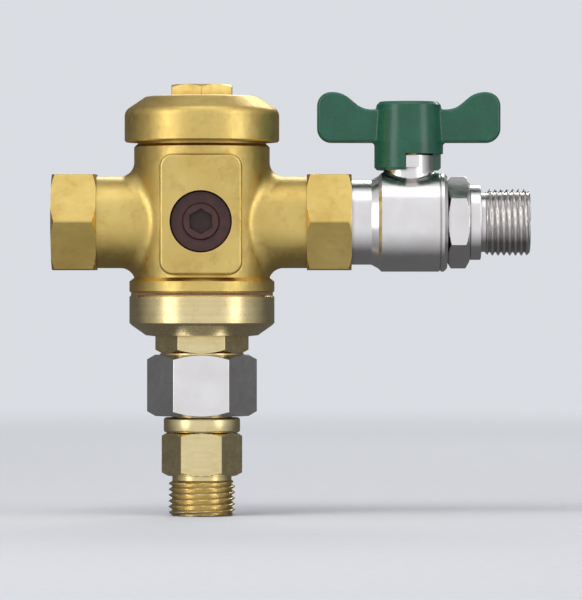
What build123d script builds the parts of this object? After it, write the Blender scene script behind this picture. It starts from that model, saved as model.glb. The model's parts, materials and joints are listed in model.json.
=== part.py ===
from build123d import *
from math import radians, sqrt, tan
import os

# Vented backflow preventer, DN 20, with the isolating valve screwed into its inlet.
# Millimetres.  The origin is the middle of the outlet's mouth.  +X runs along the
# pipe from the outlet to the inlet, +Z is up, and the plugged test port faces -Y.
# Water flows towards -X: isolating valve, inlet check, vented chamber, outlet check.
# A screw thread is a plain cylinder at the thread's major radius.

os.makedirs("parts", exist_ok=True)

# ---------------------------------------------------------------- driving sizes
SNUG = 0.02  # radial gap between pieces that are screwed or pushed together
RUNNING = 0.05  # radial gap between pieces that move on each other
G12_R = 10.48  # G 1/2 thread, major radius
G34_R = 13.2  # G 3/4 thread, major radius
G38_R = 8.3  # G 3/8 thread, major radius
BEVEL = 0.5  # usual turned-off edge
TOUCH = 0.01  # tolerance for picking edges by their place
HEX_EDGE = 0.35  # rounding of a machined hexagon's corners
HEX_BEVEL = 0.985  # radius of a hexagon's end face over half its width

# main body
BODY_LENGTH = 94.0
BARREL_X = BODY_LENGTH / 2
PIPE_AF = 30.0
PIPE_HEX_LENGTH = 14.0
ARM_R = 14.4
BARREL_R = 21.3
BARREL_TOP = 24.4
FLANGE_R = 22.8
FLANGE_TOP = -18.6
FLANGE_SLOPE = 1.2
BARREL_BOTTOM = -22.1
NECK_R = 20.2
NECK_TOP = 30.5
PAD_WIDTH = 25.6
PAD_FACE = 22.6
PAD_TOP = 21.0
PAD_BOTTOM = -16.6
ARM_FILLET = 4.5
PAD_CORNER = 4.0
PAD_EDGE = 1.0
ARROW_LENGTH = 18.0
ARROW_HEAD = 9.0
ARROW_RELIEF = 0.6
CAST_EDGE = 0.8
CAST_BEVEL = 1.03

# hollows of the main body
OUTLET_DEPTH = 14.4
INLET_DEPTH = 14.0
POCKET_R = 10.2
OUTLET_STEP = 31.0
INLET_STEP = 63.0
CHECK_WAY_R = 8.8
CHAMBER_R = 14.0
UPPER_BORE_R = 16.0
GUIDE_LEDGE = 12.0
BONNET_BORE_R = 17.0
BONNET_BORE_TOP = -14.0
CLIP_GROOVE_R = 10.8
CLIP_THICKNESS = 1.2
SENSE_R = 0.9
SENSE_HEIGHT = 12.0
SENSE_RADIUS = 18.2

# test port
PORT_R = 9.7
PORT_SEAT = 15.6
PORT_HOLE_R = 3.5
PLUG_OUTER = 20.2
PLUG_SHOULDER = 17.1
PLUG_NOSE_R = 6.9
PLUG_NOSE_END = 15.7
PLUG_RING_R = 7.75
PLUG_RING_CORD_R = 0.74
PLUG_HUB_R = 5.9
PLUG_HUB_OUTER = 21.1
PLUG_SOCKET_AF = 7.0
PLUG_SOCKET_DEPTH = 3.2

# cap and diaphragm
CAP_R = 24.3
CAP_BOTTOM = 25.2
CAP_SHOULDER = 35.0
CAP_TOP = 39.6
CAP_TOP_R = 17.5
CAP_HEX_AF = 19.0
CAP_HEX_TOP = 43.2
CAP_ROUNDING = 3.2
CAP_CAVITY_TOP = 36.4
STEM_POCKET_R = 5.2
STEM_POCKET_TOP = 41.4
RIM_R = NECK_R - 0.1
RIM_TOP = 32.0
CLAMP_RING_TOP = 34.0
CLAMP_RING_R = 14.8
PLATE_R = 12.4
PLATE_BEVEL = 1.5
PLATE_BOTTOM = 28.5
PLATE_TOP = 31.5
FOLD = 0.2  # how far the folds of the diaphragm stand off the plates and the clamp
DISH_TOP = 33.0
UPPER_PLATE_R = 11.8
UPPER_PLATE_TOP = 35.0
STEM_NUT_AF = 8.0
STEM_NUT_TOP = 38.5
STEM_TOP = 39.2

# relief valve
RELIEF_TRAVEL = 4.0
STEM_R = 3.0
STEM_THREAD_R = 2.5
STEM_COLLAR_R = 4.6
STEM_COLLAR_TOP = -8.9
HOLDER_TOP = -10.4
DISC_TOP = -14.4
DISC_BOTTOM = -16.2
HOLDER_R = 9.4
HOLDER_RIM = 0.8  # wall of the holder round the disc
HOLDER_BEVEL = 1.5
DISC_SCREW_R = 1.5
DISC_SCREW_LENGTH = 7.0
DISC_SCREW_HEAD_R = 4.4
DISC_SCREW_HEAD = 1.8
DISC_SCREW_SLOT = 1.0
SEAT_TOP = -21.0
SEAT_LIP_TOP = DISC_BOTTOM - RELIEF_TRAVEL - 0.02
SEAT_LIP = 0.8
SEAT_BOTTOM = -26.0
SEAT_HOLE_R = 6.0
SEAT_GROOVE_R = 11.6
SEAT_GROOVE_BOTTOM = -25.0
SEAT_GROOVE_TOP = -23.0
SEAT_RING_CORD_R = 0.79
GUIDE_BOTTOM = 9.0
GUIDE_TOP = 17.0
GUIDE_BOSS_R = 5.0
GUIDE_THICKNESS = 1.8
GUIDE_SLOT_INNER = 9.8
GUIDE_SLOT_OUTER = 13.4
GUIDE_SLOT_ANGLE = 70
RELIEF_SPRING_R = 7.4
RELIEF_WIRE_R = 0.8
RELIEF_SPRING_TURNS = 5

# bonnet and drain union
BONNET_TOP = -22.9
COLLAR_BOTTOM = -32.4
COLLAR_CONE_BOTTOM = -36.0
COLLAR_CONE_R = 17.6
COLLAR_EDGE = 0.8
BONNET_HEX_AF = 25.5
BONNET_HEX_BOTTOM = -41.2
BONNET_END = -54.0
BONNET_WAY_R = 9.0
NUT_AF = 30.0
NUT_TOP = -41.6
NUT_LIP_TOP = -58.5
NUT_BOTTOM = -60.8
UNION_NECK_R = 9.4
UNION_FLANGE_TOP = -56.0
UNION_FLANGE_R = 13.0
TAIL_END = -70.0
TAIL_SOCKET_BOTTOM = -70.4
DRAIN_HEX_AF = 22.0
DRAIN_COLLAR_R = 12.0
DRAIN_TOP = -61.3
DRAIN_HEX_TOP = -66.0
DRAIN_HEX_BOTTOM = -79.6
DRAIN_THREAD_TOP = -81.0
DRAIN_END = -92.0
DRAIN_WAY_R = 6.0
DRAIN_GROOVE_R = 9.4
THREAD_BEVEL = 1.0

# check cartridges
CARTRIDGE_R = POCKET_R - SNUG
CARTRIDGE_LENGTH = 15.0
CHECK_SEAT_LENGTH = 5.0
CHECK_HOLE_R = 6.0
CHECK_LIP = 0.6
CHECK_GROOVE_R = 8.2
CHECK_GROOVE_START = 1.4
CHECK_GROOVE_END = 3.8
CHECK_RING_CORD_R = 0.98
CHECK_CAGE_R = 8.6
CHECK_SPIDER = 2.0
CHECK_SPIDER_ARM = 1.6
CHECK_SPIDER_HUB_R = 3.5
CHECK_WINDOW_WIDTH = 6.0
CHECK_WINDOW_HEIGHT = 4.6
CHECK_WINDOW_MIDDLE = 9.6
CHECK_STEM_R = 2.0
CHECK_STEM_END = 13.9
CHECK_BOSS_R = 4.4
CHECK_BOSS_START = 4.2
CHECK_WAIST_R = 2.95
CHECK_HEAD_R = 7.9
CHECK_HEAD = 1.2
CHECK_SEAL_R = 7.4
CHECK_SEAL = 1.6
CHECK_SPRING_R = 3.6
CHECK_WIRE_R = 0.25
CHECK_SPRING_TURNS = 3
CLIP_INNER_R = 8.7
CLIP_GAP = 5.0

# isolating valve
BALL_X = 112.0
BALL_R = 10.5
BALL_WAY_R = 7.0
VALVE_START = 82.0
VALVE_WAY_R = 7.5
VALVE_COLLAR_R = 13.3
VALVE_BARREL_R = 15.5
VALVE_BARREL_START = 102.4
VALVE_BARREL_END = 124.0
VALVE_GROOVE = 121.8
VALVE_GROOVE_DEPTH = 0.4
VALVE_COLLAR_SLOPE = 2.2
VALVE_EDGE = 1.0
BALL_CAVITY_R = 11.0
BALL_CAVITY_START = 101.5
BALL_CAVITY_END = 122.5
BALL_SLOT = 3.2
BALL_SLOT_FLOOR = 8.0
SEAT_INNER_R = BALL_WAY_R + 0.4
SEAT_NEAR = 6.0
SEAT_GAP = 0.09
END_JOINT_R = 12.5
END_JOINT_START = 118.5
END_JOINT_SEAL = 0.6
END_HEX_AF = 25.2
END_HEX_END = 131.0
END_COLLAR_R = 11.8
END_THREAD_START = 136.0
END_GROOVE = 1.4
VALVE_END = 150.0
VALVE_NECK_R = 7.6
VALVE_NECK_TOP = 21.0
VALVE_NECK_FILLET = 1.5
SPINDLE_R = 4.0
SPINDLE_FLANGE_R = 5.5
SPINDLE_FLANGE_BOTTOM = 11.0
SPINDLE_FLANGE_TOP = 12.5
SPINDLE_WASHER_TOP = 13.1
SPINDLE_GROOVE_R = 2.55
SPINDLE_GROOVE = 1.6
SPINDLE_GROOVES = (14.4, 17.2)
SPINDLE_RING_CORD_R = 0.74
SPINDLE_TANG = (3.0, 9.0)
SPINDLE_TANG_BOTTOM = 8.2
SPINDLE_FLATS = 6.0
SPINDLE_FLATS_BOTTOM = 21.9
SPINDLE_HOLE_BOTTOM = 22.5
SPINDLE_TOP = 30.0
STOP_R = 10.2
STOP_BOTTOM = 17.2
STOP_TOP = 20.8
STOP_ANGLE = -84.0
STOP_HALF_ANGLE = 12.0
STOP_SLACK = 1.0
QUARTER_TURN = 90.0

# handle
HUB_R = 10.8
HUB_TOP_R = 10.1
HUB_BOTTOM = 16.4
HUB_FLOOR = 21.5
SKIRT_R = 8.1
HUB_TOP = 37.9
WING_HALF_SPAN = 28.8
WING_BOTTOM = 25.0
WING_TOP = 41.0
WING_SHOULDER = 21.0  # where the wing's top starts to slope down to the hub
WING_DIP = 14.5
WING_DIP_TOP = 35.5
WING_BEND = 8.0
WING_ROOT = 4.4
WING_TIP = 2.7
WING_EDGE = 1.1
WING_CORNER = 4.5
HUB_EDGE = 0.8
HUB_TOP_EDGE = 1.0
SCREW_R = 2.0
SCREW_END = 24.0
SCREW_HEAD_R = 3.9
SCREW_HEAD_BOTTOM = 34.8
SCREW_HEAD_TOP = 37.6
SCREW_DOME = 1.1
SCREW_SLOT = (4.2, 0.9)
SCREW_SLOT_DEPTH = 1.6
COUNTERBORE_R = 4.4


# ------------------------------------------------------- planes of the three axes
PIPE = Plane(origin=(0, 0, 0), x_dir=(0, 0, -1), z_dir=(1, 0, 0))
BARREL = Plane(origin=(BARREL_X, 0, 0), x_dir=(1, 0, 0), z_dir=(0, 0, 1))
PORT = Plane(origin=(BARREL_X, 0, 0), x_dir=(1, 0, 0), z_dir=(0, -1, 0))
VALVE = Plane(origin=(BALL_X, 0, 0), x_dir=(1, 0, 0), z_dir=(0, 0, 1))


def turned(plane, points):
    """A solid turned about the plane's normal, from (radius, height) pairs."""
    with BuildPart() as piece:
        with BuildSketch(Plane.XZ):
            with BuildLine():
                Polyline(*points, close=True)
            make_face()
        revolve(axis=Axis.Z)
    return piece.part.moved(plane.location)


def tube(plane, inner, outer, low, high):
    """A plain ring about the plane's normal."""
    return turned(plane, [(inner, low), (outer, low), (outer, high), (inner, high)])


def rod(plane, radius, low, high):
    """A plain cylinder along the plane's normal."""
    return turned(plane, [(0, low), (radius, low), (radius, high), (0, high)])


def hexagon(plane, across_flats, low, high, turn=0, bevel=HEX_BEVEL, edge=HEX_EDGE):
    """A hexagon bar along the plane's normal, its end corners turned off at 30 degrees."""
    corner = across_flats / sqrt(3)
    land = across_flats / 2 * bevel
    drop = (corner - land) * tan(radians(30))
    with BuildPart() as bar:
        with BuildSketch(Plane.XY.offset(low)):
            RegularPolygon(corner, 6, rotation=turn)
            fillet(vertices(), edge)
        extrude(amount=high - low)
        with BuildSketch(Plane.XZ):
            with BuildLine():
                Polyline(
                    (0, low),
                    (land, low),
                    (corner, low + drop),
                    (corner, high - drop),
                    (land, high),
                    (0, high),
                    close=True,
                )
            make_face()
        revolve(axis=Axis.Z, mode=Mode.INTERSECT)
    return bar.part.moved(plane.location)


def o_ring(plane, centre_r, cord_r, height):
    """A round-cord ring about the plane's normal."""
    with BuildPart() as ring:
        with Locations((0, 0, height)):
            Torus(centre_r, cord_r)
    return ring.part.moved(plane.location)


def coil(plane, mean_r, wire_r, low, high, turns):
    """A compression spring whose wire just fits between two heights."""
    rise = high - low - 2 * wire_r
    with BuildPart() as spring:
        with BuildLine(Plane.XY.offset(low + wire_r)) as path:
            Helix(pitch=rise / turns, height=rise, radius=mean_r)
        with BuildSketch(Plane(path.line @ 0, z_dir=path.line % 0)):
            Circle(wire_r)
        sweep(is_frenet=True)
    return spring.part.moved(plane.location)


def sector(plane, inner, outer, low, high, start, sweep_angle):
    """A part of a ring, from a start angle anticlockwise through a sweep angle."""
    with BuildPart() as piece:
        with BuildSketch(Plane.XZ):
            with BuildLine():
                Polyline((inner, low), (outer, low), (outer, high), (inner, high), close=True)
            make_face()
        revolve(axis=Axis.Z, revolution_arc=sweep_angle)
    placed = piece.part.moved(Location((0, 0, 0), (0, 0, start)))
    return placed.moved(plane.location)


def write(part, label):
    """Labels a finished piece and writes its STEP file."""
    part.label = label
    export_step(part, f"parts/{label}.step")


# -------------------------------------------------------------------- main body
with BuildPart() as main_body:
    add(
        turned(
            BARREL,
            [
                (0, BARREL_BOTTOM),
                (FLANGE_R - BEVEL, BARREL_BOTTOM),
                (FLANGE_R, BARREL_BOTTOM + BEVEL),
                (FLANGE_R, FLANGE_TOP),
                (BARREL_R, FLANGE_TOP + FLANGE_SLOPE),
                (BARREL_R, BARREL_TOP - CAST_EDGE),
                (BARREL_R - CAST_EDGE, BARREL_TOP),
                (NECK_R, BARREL_TOP),
                (NECK_R, NECK_TOP),
                (0, NECK_TOP),
            ],
        )
    )
    # the arms
    with BuildSketch(Plane.YZ.offset(PIPE_HEX_LENGTH / 2)):
        Circle(ARM_R)
    extrude(amount=BODY_LENGTH - PIPE_HEX_LENGTH)
    arm_joins = edges().filter_by(
        lambda e: e.geom_type not in (GeomType.CIRCLE, GeomType.LINE)
        and abs(e.center().Z) < ARM_R
        and abs(e.center().X - BARREL_X) > BARREL_R / 2
    )
    fillet(arm_joins, ARM_FILLET)
    # pads on the front and the back, the front one for the test port
    with BuildSketch(Plane.XZ.offset(-PAD_FACE)):
        with Locations((BARREL_X, (PAD_TOP + PAD_BOTTOM) / 2)):
            RectangleRounded(PAD_WIDTH, PAD_TOP - PAD_BOTTOM, PAD_CORNER)
    extrude(amount=2 * PAD_FACE)
    for face in (-PAD_FACE, PAD_FACE):
        fillet(edges().filter_by_position(Axis.Y, face - TOUCH, face + TOUCH), PAD_EDGE)
    # cast arrow on the back pad, along the flow
    with BuildSketch(Plane.XZ.offset(-PAD_FACE)):
        with Locations((BARREL_X + ARROW_LENGTH / 4, 0)):
            Rectangle(ARROW_LENGTH / 2, ARROW_HEAD / 4)
        with Locations((BARREL_X - ARROW_LENGTH / 4, 0)):
            Triangle(a=ARROW_HEAD, b=ARROW_HEAD, c=ARROW_HEAD, rotation=90)
    extrude(amount=-ARROW_RELIEF)
    # hexagons at the pipe ends
    for start in (0, BODY_LENGTH - PIPE_HEX_LENGTH):
        end = start + PIPE_HEX_LENGTH
        add(hexagon(PIPE, PIPE_AF, start, end, turn=30, bevel=CAST_BEVEL, edge=CAST_EDGE))
    # vertical bores: upper bore, chamber, bonnet bore
    add(rod(BARREL, UPPER_BORE_R, GUIDE_LEDGE, NECK_TOP), mode=Mode.SUBTRACT)
    add(rod(BARREL, CHAMBER_R, BONNET_BORE_TOP, GUIDE_LEDGE), mode=Mode.SUBTRACT)
    add(rod(BARREL, BONNET_BORE_R, BARREL_BOTTOM, BONNET_BORE_TOP), mode=Mode.SUBTRACT)
    # bores along the pipe: threads, check pockets and the way through
    add(rod(PIPE, G34_R + RUNNING, 0, OUTLET_DEPTH), mode=Mode.SUBTRACT)
    add(rod(PIPE, POCKET_R, OUTLET_DEPTH, OUTLET_STEP), mode=Mode.SUBTRACT)
    add(rod(PIPE, CHECK_WAY_R, OUTLET_STEP, INLET_STEP), mode=Mode.SUBTRACT)
    add(rod(PIPE, POCKET_R, INLET_STEP, BODY_LENGTH - INLET_DEPTH), mode=Mode.SUBTRACT)
    add(rod(PIPE, G34_R + SNUG, BODY_LENGTH - INLET_DEPTH, BODY_LENGTH), mode=Mode.SUBTRACT)
    # grooves for the two clips
    outlet_groove = OUTLET_STEP - CARTRIDGE_LENGTH - CLIP_THICKNESS
    inlet_groove = INLET_STEP + CARTRIDGE_LENGTH
    for start in (outlet_groove, inlet_groove):
        add(rod(PIPE, CLIP_GROOVE_R, start, start + CLIP_THICKNESS), mode=Mode.SUBTRACT)
    # test port
    add(rod(PORT, PORT_R, PORT_SEAT, PAD_FACE), mode=Mode.SUBTRACT)
    add(rod(PORT, PORT_HOLE_R, 0, PORT_SEAT), mode=Mode.SUBTRACT)
    # drilling that takes inlet pressure to the top of the diaphragm
    with BuildSketch(Plane.YZ.offset(BODY_LENGTH - INLET_DEPTH)):
        with Locations((0, SENSE_HEIGHT)):
            Circle(SENSE_R)
    extrude(amount=-(BODY_LENGTH - INLET_DEPTH - BARREL_X - SENSE_RADIUS), mode=Mode.SUBTRACT)
    with BuildSketch(Plane.XY.offset(NECK_TOP)):
        with Locations((BARREL_X + SENSE_RADIUS, 0)):
            Circle(SENSE_R)
    extrude(amount=-(NECK_TOP - SENSE_HEIGHT), mode=Mode.SUBTRACT)
write(main_body.part, "main_body")

# ---------------------------------------------------- check cartridges, both ends
# Each is built about +Z with height 0 at its upstream face, then laid along -X.
for name, upstream_x, clip_low in (
    ("inlet_check", INLET_STEP + CARTRIDGE_LENGTH, -CLIP_THICKNESS),
    ("outlet_check", OUTLET_STEP, CARTRIDGE_LENGTH),
):
    flow = Plane(origin=(upstream_x, 0, 0), x_dir=(0, 0, 1), z_dir=(-1, 0, 0))
    lip_top = CHECK_SEAT_LENGTH + CHECK_LIP
    seal_top = lip_top + CHECK_SEAL
    head_top = seal_top + CHECK_HEAD
    spider_low = CARTRIDGE_LENGTH - CHECK_SPIDER

    with BuildPart() as check_seat:
        add(
            turned(
                flow,
                [
                    (CHECK_HOLE_R, BEVEL),
                    (CHECK_HOLE_R + BEVEL, 0),
                    (CARTRIDGE_R, 0),
                    (CARTRIDGE_R, CHECK_GROOVE_START),
                    (CHECK_GROOVE_R, CHECK_GROOVE_START),
                    (CHECK_GROOVE_R, CHECK_GROOVE_END),
                    (CARTRIDGE_R, CHECK_GROOVE_END),
                    (CARTRIDGE_R, CHECK_SEAT_LENGTH),
                    (CHECK_HOLE_R + 2 * CHECK_LIP, CHECK_SEAT_LENGTH),
                    (CHECK_HOLE_R + CHECK_LIP, lip_top),
                    (CHECK_HOLE_R, lip_top),
                ],
            )
        )
    write(check_seat.part, f"{name}_seat")

    with BuildPart() as check_o_ring:
        ring_r = (CHECK_GROOVE_R + CARTRIDGE_R) / 2
        middle = (CHECK_GROOVE_START + CHECK_GROOVE_END) / 2
        add(o_ring(flow, ring_r, CHECK_RING_CORD_R, middle))
    write(check_o_ring.part, f"{name}_o_ring")

    with BuildPart() as check_cage:
        with BuildSketch(Plane.XY.offset(CHECK_SEAT_LENGTH)):
            Circle(CARTRIDGE_R)
            Circle(CHECK_CAGE_R, mode=Mode.SUBTRACT)
        extrude(amount=CARTRIDGE_LENGTH - CHECK_SEAT_LENGTH)
        with BuildSketch(Plane.XY.offset(spider_low)):
            Circle(CHECK_SPIDER_HUB_R)
            with PolarLocations(0, 3):
                with Locations((CHECK_GROOVE_R / 2, 0)):
                    Rectangle(CHECK_GROOVE_R + 1, CHECK_SPIDER_ARM)
            Circle(CHECK_STEM_R + RUNNING, mode=Mode.SUBTRACT)
        extrude(amount=CARTRIDGE_LENGTH - spider_low)
        # windows in the wall
        with BuildSketch(Plane.XZ.offset(-CARTRIDGE_R)):
            with Locations((0, CHECK_WINDOW_MIDDLE)):
                RectangleRounded(CHECK_WINDOW_WIDTH, CHECK_WINDOW_HEIGHT, 2 * BEVEL)
        extrude(amount=2 * CARTRIDGE_R, mode=Mode.SUBTRACT)
    write(check_cage.part.moved(flow.location), f"{name}_cage")

    with BuildPart() as check_poppet:
        add(
            turned(
                flow,
                [
                    (0, CHECK_BOSS_START),
                    (CHECK_BOSS_R - BEVEL, CHECK_BOSS_START),
                    (CHECK_BOSS_R, CHECK_BOSS_START + BEVEL),
                    (CHECK_BOSS_R, lip_top),
                    (CHECK_WAIST_R, lip_top),
                    (CHECK_WAIST_R, seal_top),
                    (CHECK_HEAD_R, seal_top),
                    (CHECK_HEAD_R, head_top - BEVEL),
                    (CHECK_HEAD_R - BEVEL, head_top),
                    (CHECK_STEM_R, head_top),
                    (CHECK_STEM_R, CHECK_STEM_END - BEVEL),
                    (CHECK_STEM_R - BEVEL, CHECK_STEM_END),
                    (0, CHECK_STEM_END),
                ],
            )
        )
    write(check_poppet.part, f"{name}_poppet")

    with BuildPart() as check_seal:
        add(tube(flow, CHECK_WAIST_R + SNUG, CHECK_SEAL_R, lip_top + SNUG, seal_top))
    write(check_seal.part, f"{name}_seal")

    with BuildPart() as check_spring:
        add(
            coil(
                flow,
                CHECK_SPRING_R,
                CHECK_WIRE_R,
                head_top,
                spider_low,
                CHECK_SPRING_TURNS,
            )
        )
    write(check_spring.part, f"{name}_spring")

    with BuildPart() as check_clip:
        with BuildSketch(Plane.XY.offset(clip_low)):
            Circle(CLIP_GROOVE_R - RUNNING)
            Circle(CLIP_INNER_R, mode=Mode.SUBTRACT)
            with Locations((CLIP_INNER_R, 0)):
                Rectangle(CLIP_GAP, CLIP_GAP, mode=Mode.SUBTRACT)
        extrude(amount=CLIP_THICKNESS)
    write(check_clip.part.moved(flow.location), f"{name}_clip")

# -------------------------------------------------------------- test port's plug
with BuildPart() as test_plug:
    add(
        turned(
            PORT,
            [
                (0, PLUG_NOSE_END),
                (PLUG_NOSE_R, PLUG_NOSE_END),
                (PLUG_NOSE_R, PLUG_SHOULDER),
                (PORT_R - SNUG, PLUG_SHOULDER),
                (PORT_R - SNUG, PLUG_OUTER - BEVEL),
                (PORT_R - BEVEL, PLUG_OUTER),
                (PLUG_HUB_R, PLUG_OUTER),
                (PLUG_HUB_R - BEVEL, PLUG_HUB_OUTER),
                (0, PLUG_HUB_OUTER),
            ],
        )
    )
    with BuildSketch(PORT.offset(PLUG_HUB_OUTER)):
        RegularPolygon(PLUG_SOCKET_AF / sqrt(3), 6, rotation=30)
    extrude(amount=-PLUG_SOCKET_DEPTH, mode=Mode.SUBTRACT)
write(test_plug.part, "test_plug")

with BuildPart() as test_plug_o_ring:
    add(o_ring(PORT, PLUG_RING_R, PLUG_RING_CORD_R, (PORT_SEAT + PLUG_SHOULDER) / 2))
write(test_plug_o_ring.part, "test_plug_o_ring")

# -------------------------------------------------- cap, diaphragm and its plates
with BuildPart() as cap:
    add(
        turned(
            BARREL,
            [
                (0, CAP_BOTTOM),
                (CAP_R - BEVEL, CAP_BOTTOM),
                (CAP_R, CAP_BOTTOM + BEVEL),
                (CAP_R, CAP_SHOULDER),
                (CAP_TOP_R, CAP_TOP),
                (0, CAP_TOP),
            ],
        )
    )
    shoulder = edges().filter_by(GeomType.CIRCLE).filter_by_position(
        Axis.Z, CAP_SHOULDER - TOUCH, CAP_TOP + TOUCH
    )
    fillet(shoulder, CAP_ROUNDING)
    add(hexagon(BARREL, CAP_HEX_AF, CAP_TOP - BEVEL, CAP_HEX_TOP, turn=30))
    add(rod(BARREL, NECK_R + SNUG, CAP_BOTTOM, CLAMP_RING_TOP), mode=Mode.SUBTRACT)
    add(rod(BARREL, CLAMP_RING_R, CLAMP_RING_TOP, CAP_CAVITY_TOP), mode=Mode.SUBTRACT)
    add(rod(BARREL, STEM_POCKET_R, CAP_CAVITY_TOP, STEM_POCKET_TOP), mode=Mode.SUBTRACT)
write(cap.part, "cap")

with BuildPart() as clamp_ring:
    add(tube(BARREL, CLAMP_RING_R, RIM_R, RIM_TOP, CLAMP_RING_TOP))
    with BuildSketch(Plane.XY.offset(RIM_TOP)):
        with Locations((BARREL_X + SENSE_RADIUS, 0)):
            Circle(SENSE_R)
    extrude(amount=CLAMP_RING_TOP - RIM_TOP, mode=Mode.SUBTRACT)
    with BuildSketch(Plane.XY.offset(CLAMP_RING_TOP)):
        with Locations((BARREL_X + (CLAMP_RING_R + SENSE_RADIUS) / 2, 0)):
            Rectangle(SENSE_RADIUS - CLAMP_RING_R + SENSE_R, 2 * SENSE_R)
    extrude(amount=-SENSE_R, mode=Mode.SUBTRACT)
write(clamp_ring.part, "clamp_ring")

with BuildPart() as diaphragm:
    add(
        turned(
            BARREL,
            [
                (STEM_THREAD_R + SNUG, PLATE_TOP),
                (PLATE_R + FOLD, PLATE_TOP),
                (CLAMP_RING_R - FOLD, NECK_TOP),
                (RIM_R, NECK_TOP),
                (RIM_R, RIM_TOP),
                (CLAMP_RING_R - 2 * FOLD, RIM_TOP),
                (PLATE_R, DISH_TOP),
                (STEM_THREAD_R + SNUG, DISH_TOP),
            ],
        )
    )
    with BuildSketch(Plane.XY.offset(NECK_TOP)):
        with Locations((BARREL_X + SENSE_RADIUS, 0)):
            Circle(SENSE_R)
    extrude(amount=RIM_TOP - NECK_TOP, mode=Mode.SUBTRACT)
write(diaphragm.part, "diaphragm")

with BuildPart() as lower_plate:
    add(
        turned(
            BARREL,
            [
                (STEM_THREAD_R + SNUG, PLATE_BOTTOM),
                (PLATE_R - PLATE_BEVEL, PLATE_BOTTOM),
                (PLATE_R, PLATE_BOTTOM + PLATE_BEVEL),
                (PLATE_R, PLATE_TOP),
                (STEM_THREAD_R + SNUG, PLATE_TOP),
            ],
        )
    )
write(lower_plate.part, "lower_diaphragm_plate")

with BuildPart() as upper_plate:
    add(
        turned(
            BARREL,
            [
                (STEM_THREAD_R + SNUG, DISH_TOP),
                (UPPER_PLATE_R, DISH_TOP),
                (UPPER_PLATE_R, UPPER_PLATE_TOP - BEVEL),
                (UPPER_PLATE_R - BEVEL, UPPER_PLATE_TOP),
                (STEM_THREAD_R + SNUG, UPPER_PLATE_TOP),
            ],
        )
    )
write(upper_plate.part, "upper_diaphragm_plate")

with BuildPart() as stem_nut:
    add(hexagon(BARREL, STEM_NUT_AF, UPPER_PLATE_TOP, STEM_NUT_TOP))
    add(rod(BARREL, STEM_THREAD_R + SNUG, UPPER_PLATE_TOP, STEM_NUT_TOP), mode=Mode.SUBTRACT)
write(stem_nut.part, "stem_nut")

# ------------------------------------------------------------------ relief valve
with BuildPart() as relief_stem:
    add(
        turned(
            BARREL,
            [
                (0, DISC_BOTTOM),
                (STEM_R, DISC_BOTTOM),
                (STEM_R, HOLDER_TOP),
                (STEM_COLLAR_R, HOLDER_TOP),
                (STEM_COLLAR_R, STEM_COLLAR_TOP),
                (STEM_R, STEM_COLLAR_TOP),
                (STEM_R, PLATE_BOTTOM),
                (STEM_THREAD_R, PLATE_BOTTOM),
                (STEM_THREAD_R, STEM_TOP - BEVEL),
                (STEM_THREAD_R - BEVEL, STEM_TOP),
                (0, STEM_TOP),
            ],
        )
    )
    screw_hole_top = DISC_BOTTOM + DISC_SCREW_LENGTH + 1
    add(rod(BARREL, DISC_SCREW_R + SNUG, DISC_BOTTOM, screw_hole_top), mode=Mode.SUBTRACT)
write(relief_stem.part, "relief_stem")

with BuildPart() as disc_holder:
    add(
        turned(
            BARREL,
            [
                (STEM_R + SNUG, DISC_TOP),
                (HOLDER_R - HOLDER_RIM, DISC_TOP),
                (HOLDER_R - HOLDER_RIM, DISC_TOP - HOLDER_RIM),
                (HOLDER_R, DISC_TOP - HOLDER_RIM),
                (HOLDER_R, HOLDER_TOP - HOLDER_BEVEL),
                (HOLDER_R - HOLDER_BEVEL, HOLDER_TOP),
                (STEM_R + SNUG, HOLDER_TOP),
            ],
        )
    )
write(disc_holder.part, "relief_disc_holder")

with BuildPart() as relief_disc:
    disc_r = HOLDER_R - HOLDER_RIM - SNUG
    add(tube(BARREL, STEM_R + SNUG, disc_r, DISC_BOTTOM, DISC_TOP))
write(relief_disc.part, "relief_disc")

with BuildPart() as disc_screw:
    head_bottom = DISC_BOTTOM - DISC_SCREW_HEAD
    add(
        turned(
            BARREL,
            [
                (0, head_bottom),
                (DISC_SCREW_HEAD_R - BEVEL, head_bottom),
                (DISC_SCREW_HEAD_R, head_bottom + BEVEL),
                (DISC_SCREW_HEAD_R, DISC_BOTTOM),
                (DISC_SCREW_R, DISC_BOTTOM),
                (DISC_SCREW_R, DISC_BOTTOM + DISC_SCREW_LENGTH),
                (0, DISC_BOTTOM + DISC_SCREW_LENGTH),
            ],
        )
    )
    with BuildSketch(BARREL.offset(head_bottom)):
        Rectangle(3 * DISC_SCREW_HEAD_R, DISC_SCREW_SLOT)
    extrude(amount=DISC_SCREW_HEAD / 2, mode=Mode.SUBTRACT)
write(disc_screw.part, "relief_disc_screw")

with BuildPart() as relief_seat:
    add(
        turned(
            BARREL,
            [
                (SEAT_HOLE_R, SEAT_BOTTOM),
                (G34_R, SEAT_BOTTOM),
                (G34_R, SEAT_GROOVE_BOTTOM),
                (SEAT_GROOVE_R, SEAT_GROOVE_BOTTOM),
                (SEAT_GROOVE_R, SEAT_GROOVE_TOP),
                (G34_R, SEAT_GROOVE_TOP),
                (G34_R, SEAT_TOP),
                (SEAT_HOLE_R + 2 * SEAT_LIP, SEAT_TOP),
                (SEAT_HOLE_R + SEAT_LIP, SEAT_LIP_TOP),
                (SEAT_HOLE_R, SEAT_LIP_TOP),
            ],
        )
    )
write(relief_seat.part, "relief_seat")

with BuildPart() as relief_seat_o_ring:
    ring_r = SEAT_GROOVE_R + SNUG + SEAT_RING_CORD_R
    middle = (SEAT_GROOVE_BOTTOM + SEAT_GROOVE_TOP) / 2
    add(o_ring(BARREL, ring_r, SEAT_RING_CORD_R, middle))
write(relief_seat_o_ring.part, "relief_seat_o_ring")

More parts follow.
